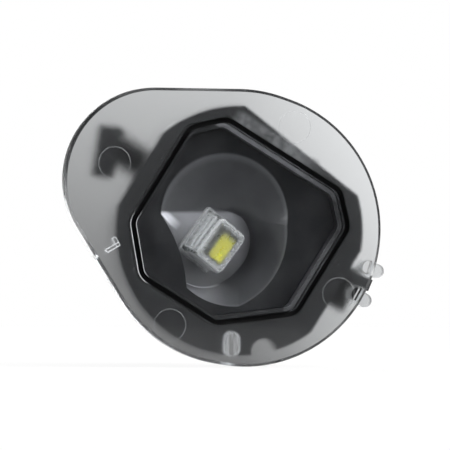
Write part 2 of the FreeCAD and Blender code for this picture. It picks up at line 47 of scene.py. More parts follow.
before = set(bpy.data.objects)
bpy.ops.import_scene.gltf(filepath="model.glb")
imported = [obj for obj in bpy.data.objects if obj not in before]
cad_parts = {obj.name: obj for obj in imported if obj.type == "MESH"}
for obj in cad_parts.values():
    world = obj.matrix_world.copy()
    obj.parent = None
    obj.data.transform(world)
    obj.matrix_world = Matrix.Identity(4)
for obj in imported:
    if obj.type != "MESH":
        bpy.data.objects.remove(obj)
CAD_BOX = [list(corner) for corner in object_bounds()]
MM = 0.001
ORIGIN = Vector((0.0, 0.0, 0.0))
RIGHT = Vector((1.0, 0.0, 0.0))
BACK = Vector((0.0, 1.0, 0.0))
UP = Vector((0.0, 0.0, 1.0))
BLACK = (0.0, 0.0, 0.0, 1.0)
WHITE = (1.0, 1.0, 1.0, 1.0)

# Options that settings of one kind share
COLOUR = {"subtype": "COLOR", "size": 4, "min": 0.0, "max": 1.0}
SHARE = {"subtype": "FACTOR", "min": 0.0, "max": 1.0}

# Refractive indices
LENS_INDEX = 1.58
CAP_INDEX = 1.46
PLASTIC_INDEX = 1.49

# Usual spread of noise
NOISE_LOW = 0.3
NOISE_HIGH = 0.7

# Turn of the housing and its window, and of the lens, clockwise as the lens is looked at
WINDOW_TURN = math.radians(32.0)
MARK_TURN = math.radians(30.0)

# Ejector marks: places along and across the turned lens, in mm
MARKS = ((-0.15, 17.0), (17.3, -0.47), (-1.7, -16.56), (-20.2, -0.5))

# Legs of the L-shaped rib: two opposite corners of each, in mm from the rib's own corner
RIB_LEGS = (((0.0, -0.4), (2.0, 0.0)), ((0.0, -1.3), (0.4, 0.0)))


class LensSettings(bpy.types.PropertyGroup):
    """Finish and sizes of the clear lens."""

    tint: FloatVectorProperty(
        name="Tint", description="Colour that the clear plastic gives to light",
        default=(0.80, 0.815, 0.825, 1.0), **COLOUR)
    frost: FloatProperty(
        name="Frost", description="Roughness of the rim's textured back", default=0.20, **SHARE)
    grain: FloatProperty(
        name="Grain", description="Height of the fine grain on the rim's textured back",
        unit="LENGTH", default=0.02 * MM)
    polish: FloatProperty(
        name="Polish", description="Roughness of the window and the front", default=0.03, **SHARE)
    mark_radius: FloatProperty(
        name="Ejector mark", description="Radius of the round ejector marks",
        unit="LENGTH", default=2.3 * MM)
    window_length: FloatProperty(
        name="Window length", description="Long way of the polished window",
        unit="LENGTH", default=27.1 * MM)
    window_width: FloatProperty(
        name="Window width", description="Short way of the polished window",
        unit="LENGTH", default=25.6 * MM)
    cut_top: FloatProperty(
        name="Top cut", description="Corner cut at both upper corners", unit="LENGTH", default=3.9 * MM)
    cut_near: FloatVectorProperty(
        name="Near cut", description="Cut of the lower near corner, along and across",
        unit="LENGTH", size=2, default=(5.4 * MM, 5.9 * MM))
    cut_far: FloatVectorProperty(
        name="Far cut", description="Cut of the lower far corner, along and across",
        unit="LENGTH", size=2, default=(8.9 * MM, 7.4 * MM))
    corner: FloatProperty(
        name="Corner", description="Rounding of the window's corners", unit="LENGTH", default=2.2 * MM)
    rib: FloatProperty(
        name="Weld rib", description="Thickness of the weld rib round the window",
        unit="LENGTH", default=0.7 * MM)
    corner_rib: FloatVectorProperty(
        name="Corner rib", description="Corner of the L-shaped rib: right and up",
        unit="LENGTH", size=2, default=(-16.993 * MM, -2.085 * MM))
    corner_turn: FloatProperty(
        name="Corner rib turn", description="Bearing of the L-shaped rib's long leg",
        subtype="ANGLE", default=math.radians(210.0))
    peg: FloatVectorProperty(
        name="Peg", description="Middle of the upright peg: right and up",
        unit="LENGTH", size=2, default=(-0.542 * MM, -16.23 * MM))
    peg_size: FloatVectorProperty(
        name="Peg size", description="Width and height of the upright peg",
        unit="LENGTH", size=2, default=(1.9 * MM, 3.3 * MM))
    # Strength of the painted glow in the clear peg, standing in for the light it gathers
    painted_peg_glow: FloatProperty(
        name="Peg glow", description="Strength of the light that the clear peg gathers",
        default=0.2, **SHARE)


class PlasticSettings(bpy.types.PropertyGroup):
    """Colours of the black mouldings, with painted light and highlights on some, and the depth of the
    reflector's front.
    """

    housing: FloatVectorProperty(
        name="Housing", description="Black of the housing", default=(0.006, 0.0064, 0.0078, 1.0), **COLOUR)
    housing_pale: FloatVectorProperty(
        name="Scuffed housing", description="Black of the housing where it is scuffed",
        default=(0.011, 0.0115, 0.013, 1.0), **COLOUR)
    # Grey of the painted light on the housing's inner wall beside the weld
    wall: FloatVectorProperty(
        name="Inner wall", description="Grey of the housing's satin inner wall beside the weld",
        default=(0.11, 0.11, 0.118, 1.0), **COLOUR)
    # Paler grey laid in blotches on the front of the flange's lip at the upper right
    lip: FloatVectorProperty(
        name="Lip", description="Grey of the rubbed lip of the housing's flange, at the upper right",
        default=(0.155, 0.157, 0.163, 1.0), **COLOUR)
    shelf: FloatVectorProperty(
        name="Shelf", description="Black of the reflector's flat front",
        default=(0.009, 0.0095, 0.0112, 1.0), **COLOUR)
    bowl: FloatVectorProperty(
        name="Bowl", description="Dark grey of the bowl's satin wall",
        default=(0.042, 0.043, 0.047, 1.0), **COLOUR)
    # Painted light: paler grey on the bowl's left side and the painted highlight on its rim
    painted_bowl_light: FloatVectorProperty(
        name="Bowl rim", description="Paler grey of the bowl's rounded rim",
        default=(0.105, 0.106, 0.112, 1.0), **COLOUR)
    floor: FloatVectorProperty(
        name="Floor", description="Grey of the bowl's floor below the emitter",
        default=(0.155, 0.157, 0.163, 1.0), **COLOUR)
    # Painted light: pale grey on the floor above the emitter and in the crescent at the bowl's lower left
    painted_light_grey: FloatVectorProperty(
        name="Upper floor", description="Pale grey of the bowl's floor above the emitter",
        default=(0.31, 0.31, 0.33, 1.0), **COLOUR)
    # Painted highlights on the edges of the bowl's floor, and the strength of their painted glow
    painted_glint: FloatVectorProperty(
        name="Glint", description="Pale grey of the polished edges of the bowl's floor",
        default=(0.78, 0.78, 0.83, 1.0), **COLOUR)
    painted_highlight_glow: FloatProperty(
        name="Glint glow", description="Strength of the light on the polished edges of the bowl's floor",
        default=0.16, **SHARE)
    shelf_depth: FloatProperty(
        name="Shelf depth", description="Depth of the reflector's flat front behind the rim",
        unit="LENGTH", default=4.4 * MM)


class EmitterSettings(bpy.types.PropertyGroup):
    """Colours and sizes of the emitter and its cap."""

    phosphor: FloatVectorProperty(
        name="Phosphor", description="Yellow of the emitter", default=(0.84, 0.82, 0.008, 1.0), **COLOUR)
    # Painted shade: grey-green that the emitter turns towards its edges, most along its left side and top
    painted_phosphor_shade: FloatVectorProperty(
        name="Phosphor edge", description="Grey-green of the emitter's thin edge",
        default=(0.11, 0.115, 0.05, 1.0), **COLOUR)
    phosphor_size: FloatVectorProperty(
        name="Phosphor size", description="Emitter along and across the floor",
        unit="LENGTH", size=2, default=(2.8 * MM, 4.2 * MM))
    phosphor_shift: FloatProperty(
        name="Phosphor shift", description="Emitter's offset from the cap's middle, along the floor",
        unit="LENGTH", default=0.5 * MM)
    base: FloatVectorProperty(
        name="Base", description="Pale ceramic under the emitter",
        default=(0.90, 0.91, 0.91, 1.0), **COLOUR)
    cap: FloatVectorProperty(
        name="Cap", description="Colour that the clear cap gives to light",
        default=(0.93, 0.94, 0.95, 1.0), **COLOUR)
    pad: FloatVectorProperty(
        name="Pad", description="Dark grey of the base's top beside the phosphor",
        default=(0.04, 0.044, 0.03, 1.0), **COLOUR)
    spot: FloatVectorProperty(
        name="Place", description="Middle of the emitter on the bowl's floor: along, back and across",
        unit="LENGTH", size=3, default=(-1.8 * MM, 8.6 * MM, -2.65 * MM))
    tilt: FloatProperty(
        name="Tilt", description="Lean of the bowl's floor along the housing",
        subtype="ANGLE", default=math.radians(24.0))
    cap_size: FloatVectorProperty(
        name="Cap size", description="Cap along and across the floor, and out of it",
        unit="LENGTH", size=3, default=(5.8 * MM, 6.9 * MM, 4.4 * MM))
    cap_wall: FloatProperty(
        name="Cap wall", description="Thickness of the cap", unit="LENGTH", default=0.7 * MM)
    cap_turn: FloatProperty(
        name="Cap turn", description="Turn of the cap on the floor",
        subtype="ANGLE", default=math.radians(-5.0))
    base_top: FloatProperty(
        name="Base top", description="Height of the base's top above the floor",
        unit="LENGTH", default=3.25 * MM)


class StageSettings(bpy.types.PropertyGroup):
    """Camera, lights and the shaded card behind the lamp."""

    turn: FloatProperty(
        name="Camera turn", description="Angle of the camera to the right of square on",
        subtype="ANGLE", default=math.radians(-10.0))
    aim: FloatVectorProperty(
        name="Camera aim", description="Point that the camera looks at",
        unit="LENGTH", size=3, default=(-1.83 * MM, -1.1 * MM, 0.8 * MM))
    distance: FloatProperty(
        name="Camera distance", description="Distance of the camera from its aim",
        unit="LENGTH", default=1.0)
    view_width: FloatProperty(
        name="View width", description="Width of the picture at the lens",
        unit="LENGTH", default=64.3 * MM)
    key: FloatProperty(
        name="Key light", description="Power of the main light at the upper right, and of the one behind",
        unit="POWER", default=2.8)
    fill: FloatProperty(
        name="Fill light", description="Power of the weak lights at the left and above",
        unit="POWER", default=1.6)
    ambient: FloatProperty(
        name="Room light", description="Brightness of the room", default=0.12, **SHARE)
    card_level: FloatProperty(
        name="Card", description="Brightness of the card's middle", default=0.43, **SHARE)
    card_slope: FloatVectorProperty(
        name="Card slope", description="Gain of the card's brightness per mm: right, left and up",
        size=3, default=(0.0207, 0.0034, 0.0127))


class Graph:
    """Shorthand for wiring the nodes of one tree."""

    def __init__(self, tree):
        self.tree = tree

    def add(self, kind, **values):
        """Adds a node and sets its properties."""
        node = self.tree.nodes.new(kind)
        for key, value in values.items():
            setattr(node, key, value)
        return node

    def put(self, socket, value):
        """Links a socket, or sets its value."""
        if isinstance(value, bpy.types.NodeSocket):
            self.tree.links.new(value, socket)
        else:
            socket.default_value = value

    def fill(self, node, values):
        """Links or sets several inputs of a node by their labels; returns the node."""
        for label, value in values.items():
            self.put(node.inputs[label], value)
        return node

    def math(self, operation, first, second=0.0, third=0.0):
        """One sum on values or sockets."""
        node = self.add("ShaderNodeMath", operation=operation)
        for socket, value in zip(node.inputs, (first, second, third)):
            self.put(socket, value)
        return node.outputs[0]

    def product(self, first, *others):
        """Product of several values."""
        for other in others:
            first = self.math("MULTIPLY", first, other)
        return first

    def greatest(self, first, *others):
        """Greatest of several values."""
        for other in others:
            first = self.math("MAXIMUM", first, other)
        return first

    def blend(self, share, first, second):
        """Colour between two colours, which are inputs 6 and 7 and output 2 of a Mix node."""
        node = self.add("ShaderNodeMix", data_type="RGBA")
        self.put(node.inputs[0], share)
        self.put(node.inputs[6], first)
        self.put(node.inputs[7], second)
        return node.outputs[2]

    def span(self, value, low, high, start=0.0, end=1.0):
        """Value carried from one span to another, held at its ends."""
        node = self.add("ShaderNodeMapRange")
        for socket, number in zip(node.inputs, (value, low, high, start, end)):
            self.put(socket, number)
        return node.outputs[0]

    def fall(self, value, low, high, end=0.0):
        """Share that falls from 1 to its end over a span."""
        return self.span(value, low, high, 1.0, end)

    def band(self, value, start, full, fade, end):
        """Share that rises from start to full and falls from fade to end."""
        return self.product(self.span(value, start, full), self.fall(value, fade, end))

    def noise(self, vector, scale, detail=2.0, roughness=0.5):
        """Noise from 0 to 1 on a vector, at a scale per metre."""
        values = {"Vector": vector, "Scale": scale, "Detail": detail, "Roughness": roughness}
        return self.fill(self.add("ShaderNodeTexNoise"), values).outputs["Fac"]

    def mottle(self, noise, low, high):
        """Noise carried from its usual spread to a span of values."""
        return self.span(noise, NOISE_LOW, NOISE_HIGH, low, high)

    def place(self):
        """The surface's place in the object's own axes, in metres."""
        return self.add("ShaderNodeTexCoord").outputs["Object"]

    def stretch(self, vector, scale, turn=(0.0, 0.0, 0.0)):
        """Vector scaled along each axis and then turned."""
        values = {"Vector": vector, "Scale": scale, "Rotation": turn}
        return self.fill(self.add("ShaderNodeMapping"), values).outputs[0]

    def beyond(self, place, way, point=ORIGIN):
        """Distance of a place beyond a point, along a way, in mm."""
        node = self.add("ShaderNodeVectorMath", operation="DOT_PRODUCT")
        self.put(node.inputs[0], place)
        self.put(node.inputs[1], way / MM)
        return self.math("SUBTRACT", node.outputs["Value"], point.dot(way) / MM)

    def bump(self, height, strength, distance):
        """Normal of a surface that rises and falls by a height."""
        values = {"Strength": strength, "Distance": distance, "Height": height}
        return self.fill(self.add("ShaderNodeBump"), values).outputs["Normal"]

    def mix(self, share, first, second):
        """Shader between two shaders."""
        node = self.add("ShaderNodeMixShader")
        for socket, value in zip(node.inputs, (share, first.outputs[0], second.outputs[0])):
            self.put(socket, value)
        return node

    def show(self, shader):
        """Puts a shader on the material's output, in the place of the one before."""
        output = next(node for node in self.tree.nodes if node.type == "OUTPUT_MATERIAL")
        self.put(output.inputs["Surface"], shader.outputs[0])


def new_material(name):
    """Material with one Principled shader; returns it with its graph and shader."""
    material = bpy.data.materials.new(name)
    material.use_nodes = True
    material.node_tree.nodes.clear()
    graph = Graph(material.node_tree)
    shader = graph.add("ShaderNodeBsdfPrincipled")
    graph.add("ShaderNodeOutputMaterial")
    graph.show(shader)
    return material, graph, shader


def let_lamps_through(graph, shader, share):
    """Puts a clear shader in the glass's place for light on its way from a lamp."""
    clear = graph.add("ShaderNodeBsdfTransparent")
    clear.inputs["Color"].default_value = (share, share, share, 1.0)
    path = graph.add("ShaderNodeLightPath")
    graph.show(graph.mix(path.outputs["Is Shadow Ray"], shader, clear))


def moulded_skin():
    """Group for moulded plastic: spark-eroded grain, flow clouds and light scuffs."""
    name = "Moulded skin"
    if name in bpy.data.node_groups:
        return bpy.data.node_groups[name]
    tree = bpy.data.node_groups.new(name, "ShaderNodeTree")
    for label, kind, start in (
        ("Colour", "NodeSocketColor", (0.05, 0.05, 0.05, 1.0)),
        ("Pale", "NodeSocketColor", (0.1, 0.1, 0.1, 1.0)),
        ("Grain per metre", "NodeSocketFloat", 9000.0),
        ("Roughness", "NodeSocketFloat", 0.4),
        ("Roughness spread", "NodeSocketFloat", 0.1),
    ):
        tree.interface.new_socket(label, in_out="INPUT", socket_type=kind).default_value = start
    for label, kind in (
        ("Colour", "NodeSocketColor"),
        ("Roughness", "NodeSocketFloat"),
        ("Height", "NodeSocketFloat"),
    ):
        tree.interface.new_socket(label, in_out="OUTPUT", socket_type=kind)
    graph = Graph(tree)
    given = graph.add("NodeGroupInput").outputs
    place = graph.place()
    grain = graph.noise(place, given["Grain per metre"], 3.0, 0.6)
    cloud = graph.noise(place, 160.0, 4.0, 0.55)
    scratched = graph.stretch(place, (1.0, 0.12, 1.0), (0.4, 0.9, 0.2))
    scuff = graph.span(graph.noise(scratched, 2600.0, 4.0, 0.7), 0.62, 0.72)
    clouded = graph.product(graph.span(cloud, 0.4, 0.7), 0.35)
    pale = graph.math("MULTIPLY_ADD", scuff, 0.3, clouded)
    spread = graph.product(graph.math("SUBTRACT", cloud, 0.5), given["Roughness spread"], 2.0)
    rough = graph.math("ADD", given["Roughness"], spread)
    graph.fill(graph.add("NodeGroupOutput"), {
        "Colour": graph.blend(pale, given["Colour"], given["Pale"]),
        "Roughness": graph.math("MULTIPLY_ADD", scuff, -0.06, rough),
        "Height": grain,
    })
    return tree


def wear_skin(graph, shader, colour, pale, rough, spread, grain, depth, strength=0.35):
    """Gives a shader the colour, roughness and grain of the moulded skin."""
    skin = graph.add("ShaderNodeGroup", node_tree=moulded_skin())
    graph.fill(skin, {
        "Colour": colour,
        "Pale": pale,
        "Grain per metre": grain,
        "Roughness": rough,
        "Roughness spread": spread,
    })
    graph.fill(shader, {
        "Base Color": skin.outputs["Colour"],
        "Roughness": skin.outputs["Roughness"],
        "Normal": graph.bump(skin.outputs["Height"], strength, depth),
    })


def turned_ways(turn):
    """Ways along and across a shape that is turned clockwise as the lens is looked at."""
    along = RIGHT * math.cos(turn) - UP * math.sin(turn)
    across = RIGHT * math.sin(turn) + UP * math.cos(turn)
    return along, across


def emitter_axes(settings):
    """Middle of the emitter on the bowl's floor, and the ways along the floor, across it and out of it."""
    along, across = turned_ways(WINDOW_TURN)
    middle = along * settings.spot[0] + BACK * settings.spot[1] + across * settings.spot[2]
    floor_way = along * math.cos(settings.tilt) + BACK * math.sin(settings.tilt)
    out_way = along * math.sin(settings.tilt) - BACK * math.cos(settings.tilt)
    return middle, floor_way, across, out_way


def cap_axes(settings):
    """Middle of the emitter, and the turned cap's ways along the floor, across it and out of it."""
    middle, floor_way, across, out_way = emitter_axes(settings)
    cosine, sine = math.cos(settings.cap_turn), math.sin(settings.cap_turn)
    return middle, floor_way * cosine + across * sine, across * cosine - floor_way * sine, out_way


def rounded_loop(half_x, half_y, radius, steps):
    """Rounded rectangle as flat points.

    Each of its four corner centres plus the radius times (cos a, sin a), where a runs over a quarter turn.
    """
    quarter = np.repeat(np.arange(4), steps)
    angle = (quarter + np.tile(np.linspace(0.0, 1.0, steps), 4)) * np.pi / 2
    centre_x = np.where((quarter == 0) | (quarter == 3), half_x - radius, radius - half_x)
    centre_y = np.where(quarter < 2, half_y - radius, radius - half_y)
    return np.stack([centre_x + radius * np.cos(angle), centre_y + radius * np.sin(angle)], axis=1)


def laid(flat, middle, first, second):
    """Flat points in space: the middle plus each point's two parts times the first and the second way."""
    return np.array(middle) + flat[:, :1] * np.array(first) + flat[:, 1:] * np.array(second)


def window_loop(settings, grow, depth):
    """Closed path round the window, grown outward, at a depth.

    Each of its eight corner centres plus the corner radius times (cos a, sin a), where a runs from the
    outward bearing of the side before the corner to that of the side after it.
    """
    # The centres lie on the outline moved in by the radius, where each cut is shorter by about the trim
    trim = settings.corner * (2.0 - math.sqrt(2.0))
    half_along = settings.window_length / 2 - settings.corner
    half_across = settings.window_width / 2 - settings.corner
    top = settings.cut_top - trim
    near_along, near_across = np.array(settings.cut_near) - trim
    far_along, far_across = np.array(settings.cut_far) - trim
    centres = np.array([
        (half_along, far_across - half_across),
        (half_along, half_across - top),
        (half_along - top, half_across),
        (top - half_along, half_across),
        (-half_along, half_across - top),
        (-half_along, near_across - half_across),
        (near_along - half_along, -half_across),
        (half_along - far_along, -half_across),
    ])
    sides = np.roll(centres, -1, axis=0) - centres
    bearing = np.arctan2(sides[:, 1], sides[:, 0]) - np.pi / 2
    start = np.roll(bearing, 1)
    sweep = (bearing - start) % (2.0 * np.pi)
    corner_steps = 8
    angle = start[:, None] + sweep[:, None] * np.linspace(0.0, 1.0, corner_steps)
    along = centres[:, :1] + (settings.corner + grow) * np.cos(angle)
    across = centres[:, 1:] + (settings.corner + grow) * np.sin(angle)
    flat = np.stack([along.ravel(), across.ravel()], axis=1)
    return laid(flat, BACK * depth, *turned_ways(WINDOW_TURN))


def bead(path, out_way, tube, sides=8):
    """Round bead on a closed path, as a grid of points.

    Each path point plus the tube's radius times (cos b of the side way + sin b of the out way), where b
    runs over a full turn and the side way is square to the path and to the out way.
    """
    out = np.array(out_way)
    ahead = np.roll(path, -1, axis=0) - np.roll(path, 1, axis=0)
    side = np.cross(ahead, out)
    side /= np.linalg.norm(side, axis=1, keepdims=True)
    turn = np.linspace(0.0, 2.0 * np.pi, sides, endpoint=False)[None, :, None]
    return path[:, None, :] + tube * (np.cos(turn) * side[:, None, :] + np.sin(turn) * out)


def bead_piece(name, grids, material):
    """One piece of closed beads, each a grid of points that meets itself both ways; rides on the lamp."""
    points, faces, start = [], [], 0
    for grid in grids:
        rows, columns = grid.shape[:2]
        row, column = np.indices((rows, columns))
        next_row, next_column = (row + 1) % rows, (column + 1) % columns
        corners = [row * columns + column, next_row * columns + column,
                   next_row * columns + next_column, row * columns + next_column]
        faces.append(np.stack(corners, axis=-1).reshape(-1, 4) + start)
        points.append(grid.reshape(-1, 3))
        start += rows * columns
    mesh = bpy.data.meshes.new(name)
    mesh.from_pydata(np.concatenate(points).tolist(), [], np.concatenate(faces).tolist())
    mesh.shade_smooth()
    mesh.materials.append(material)
    piece = bpy.data.objects.new(name, mesh)
    bpy.context.scene.collection.objects.link(piece)
    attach(piece, "root")


def whitening_and_highlight(name, share, least=1.0):
    """Pale, matt and partly clear plastic: whitened at a flash line on the lens, and painted highlights on
    the cap.

    Right of and above the window's left corner its alpha fades to the least share of its full value.
    """
    corner = Vector((-13.6 * MM, 0.0, 0.8 * MM))
    material, graph, shader = new_material(name)
    place = graph.place()
    cloud = graph.noise(place, 1500.0, 3.0, 0.6)
    aside = graph.fall(graph.beyond(place, RIGHT, corner), 0.0, 0.8, least)
    above = graph.fall(graph.beyond(place, UP, corner), 0.0, 2.0, least)
    left = graph.math("MINIMUM", aside, above)
    graph.fill(shader, {
        "Base Color": graph.blend(cloud, (0.86, 0.87, 0.88, 1.0), (0.7, 0.71, 0.72, 1.0)),
        "Roughness": graph.mottle(cloud, 0.35, 0.55),
        "Alpha": graph.product(left, graph.mottle(cloud, share * 0.6, share)),
    })
    return material


def dress(nodes, material):
    """Gives CAD nodes their finish."""
    for node in nodes:
        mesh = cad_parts[node].data
        mesh.materials.clear()
        mesh.materials.append(material)


def window_distance(graph, place, settings):
    """Distance outside the window's outline, in mm: the greatest of those beyond its eight sides."""
    along, across = turned_ways(WINDOW_TURN)
    half_along, half_across = settings.window_length / 2, settings.window_width / 2
    sides = [(along, half_along), (-along, half_along), (across, half_across), (-across, half_across)]
    for way_along, way_across, cut_along, cut_across in (
        (along, across, settings.cut_top, settings.cut_top),
        (-along, across, settings.cut_top, settings.cut_top),
        (-along, -across, *settings.cut_near),
        (along, -across, *settings.cut_far),
    ):
        length = math.hypot(cut_along, cut_across)
        lean_along, lean_across = cut_across / length, cut_along / length
        reach = (half_along - cut_along) * lean_along + half_across * lean_across
        sides.append((way_along * lean_along + way_across * lean_across, reach))
    return graph.greatest(*(graph.beyond(place, way, way * reach) for way, reach in sides))


def clear_lens(settings):
    """Clear plastic: polished in front and in the window, frosted at the rim's back, with a painted glow
    in the peg.
    """
    material, graph, shader = new_material("Clear lens")
    place = graph.place()
    depth = graph.beyond(place, BACK)
    outside = graph.span(window_distance(graph, place, settings), 0.2, 0.6)
    frosted = graph.product(outside, graph.span(depth, -1.0, -0.4))
    speckle_spread = 0.12
    speckle = graph.math("SUBTRACT", graph.noise(place, 2400.0, 4.0, 0.65), 0.5)
    frost = graph.math("MULTIPLY_ADD", speckle, speckle_spread, settings.frost - settings.polish)
    fine = graph.product(frosted, graph.noise(place, 15000.0, 1.0, 0.5))

    # Painted glow in the peg: streaks of emission that stand in for the light it gathers
    peg = RIGHT * settings.peg[0] + UP * settings.peg[1]
    in_peg = graph.span(depth, 0.3, 0.6)
    for way, size in zip((RIGHT, UP), settings.peg_size):
        off = graph.math("ABSOLUTE", graph.beyond(place, way, peg))
        half = size / 2 / MM
        in_peg = graph.product(in_peg, graph.fall(off, half, half + 0.1))
    upright = graph.stretch(place, (1.0, 0.2, 0.15))
    streak = graph.span(graph.noise(upright, 1900.0), 0.4, 0.62, 0.1, 1.0)
    graph.fill(shader, {
        "Base Color": settings.tint,
        "Roughness": graph.math("MULTIPLY_ADD", frosted, frost, settings.polish),
        "Normal": graph.bump(fine, 1.0, settings.grain),
        "Emission Color": graph.blend(graph.product(in_peg, streak), BLACK, (0.9, 0.92, 0.95, 1.0)),
        "Emission Strength": settings.painted_peg_glow,
        "IOR": LENS_INDEX,
        "Specular Tint": (0.3, 0.3, 0.3, 1.0),
        "Transmission Weight": 1.0,
    })
    let_lamps_through(graph, shader, 0.86)
    return material


class PUDDLE_OT_lens(bpy.types.Operator):
    """Clear lens with a polished window and a frosted back round it, and its whitened lines"""

    bl_idname = "puddle.lens"
    bl_label = "Clear lens"

    def execute(self, context):
        settings = context.scene.puddle_lens
        dress(["lens"], clear_lens(settings))

        # Rings round the ejector marks: (cos a, sin a) times their radius, over a full turn
        tube, depth, steps = 0.06 * MM, 0.07 * MM, 72
        turn = np.linspace(0.0, 2.0 * np.pi, steps, endpoint=False)
        circle = np.stack([np.cos(turn), np.sin(turn)], axis=1) * settings.mark_radius
        along, across = turned_ways(MARK_TURN)
        rings = []
        for far_along, far_across in MARKS:
            centre = along * (far_along * MM) + across * (far_across * MM) + BACK * depth
            rings.append(bead(laid(circle, centre, RIGHT, UP), BACK, tube))
        bead_piece("ejector_rings", rings, whitening_and_highlight("Whitened mark", 0.12))

        # Flash along both sides of the weld rib
        depth = 0.08 * MM
        half_rib = settings.rib / 2
        for name, label, grow, tube in (
            ("weld_flash_inside", "Whitened weld inside", -half_rib - 0.06 * MM, 0.05 * MM),
            ("weld_flash_outside", "Whitened weld outside", half_rib + 0.08 * MM, 0.06 * MM),
        ):
            line = bead(window_loop(settings, grow, depth), BACK, tube)
            bead_piece(name, [line], whitening_and_highlight(label, 1.0, 0.0))

        # Flash round the peg
        tube, grow, depth = 0.08 * MM, 0.1 * MM, 0.1 * MM
        half_width, half_height = settings.peg_size[0] / 2 + grow, settings.peg_size[1] / 2 + grow
        flat = rounded_loop(half_width, half_height, half_width, steps=12)
        foot = RIGHT * settings.peg[0] + BACK * depth + UP * settings.peg[1]
        line = bead(laid(flat, foot, RIGHT, UP), BACK, tube)
        bead_piece("peg_flash", [line], whitening_and_highlight("Whitened peg", 0.1))

        # Flash round both legs of the L-shaped rib
        tube, grow, depth, corner = 0.06 * MM, 0.06 * MM, 0.08 * MM, 0.1 * MM
        foot = RIGHT * settings.corner_rib[0] + BACK * depth + UP * settings.corner_rib[1]
        lines = []
        for leg in RIB_LEGS:
            low, high = np.array(leg) * MM
            half = (high - low) / 2 + grow
            flat = rounded_loop(half[0], half[1], corner, steps=6) + (low + high) / 2
            lines.append(bead(laid(flat, foot, *turned_ways(-settings.corner_turn)), BACK, tube))
        bead_piece("corner_rib_flash", lines, whitening_and_highlight("Whitened rib", 0.7))
        return {"FINISHED"}


class PUDDLE_OT_housing(bpy.types.Operator):
    """Black moulded housing, with painted light on its inner wall and a paler blotchy lip at the upper
    right
    """

    bl_idname = "puddle.housing"
    bl_label = "Housing"

    def execute(self, context):
        settings = context.scene.puddle_plastic
        along, across = turned_ways(WINDOW_TURN)
        material, graph, shader = new_material("Black housing")
        place = graph.place()
        far_along = graph.beyond(place, along)
        far_across = graph.beyond(place, across)
        depth = graph.beyond(place, BACK)
        distance = window_distance(graph, place, context.scene.puddle_lens)

        # Painted light on the wall inside the weld, at its top and at its far end
        inside = graph.fall(distance, -0.5, -0.4)
        shallow = graph.fall(depth, 6.0, 7.0)
        top = graph.product(graph.span(far_across, 11.2, 11.6, 0.0, 1.3),
                            graph.fall(far_along, 2.0, 8.0, 0.4))
        end = graph.product(graph.span(far_along, 11.9, 12.3, 0.0, 0.7),
                            graph.fall(far_across, 4.0, 7.5, 0.2))
        painted_wall_light = graph.product(inside, shallow, graph.greatest(top, end))

        # Paler blotches on the front of the flange's lip, at the upper right
        blotch = graph.span(graph.noise(place, 1100.0, 3.0, 0.6), 0.32, 0.55, 0.2, 1.0)
        lip = graph.product(
            graph.band(far_across, 13.2, 13.5, 14.7, 15.3),
            graph.span(far_along, -9.0, -7.5),
            graph.fall(far_along, 1.0, 7.0, 0.1),
            graph.fall(depth, 2.15, 2.25),
            blotch,
        )
        colour = graph.blend(lip, graph.blend(painted_wall_light, settings.housing, settings.wall), settings.lip)
        wear_skin(graph, shader, colour, settings.housing_pale,
                  rough=0.5, spread=0.1, grain=9000.0, depth=0.02 * MM)
        shader.inputs["IOR"].default_value = PLASTIC_INDEX
        dress(["housing"], material)
        return {"FINISHED"}


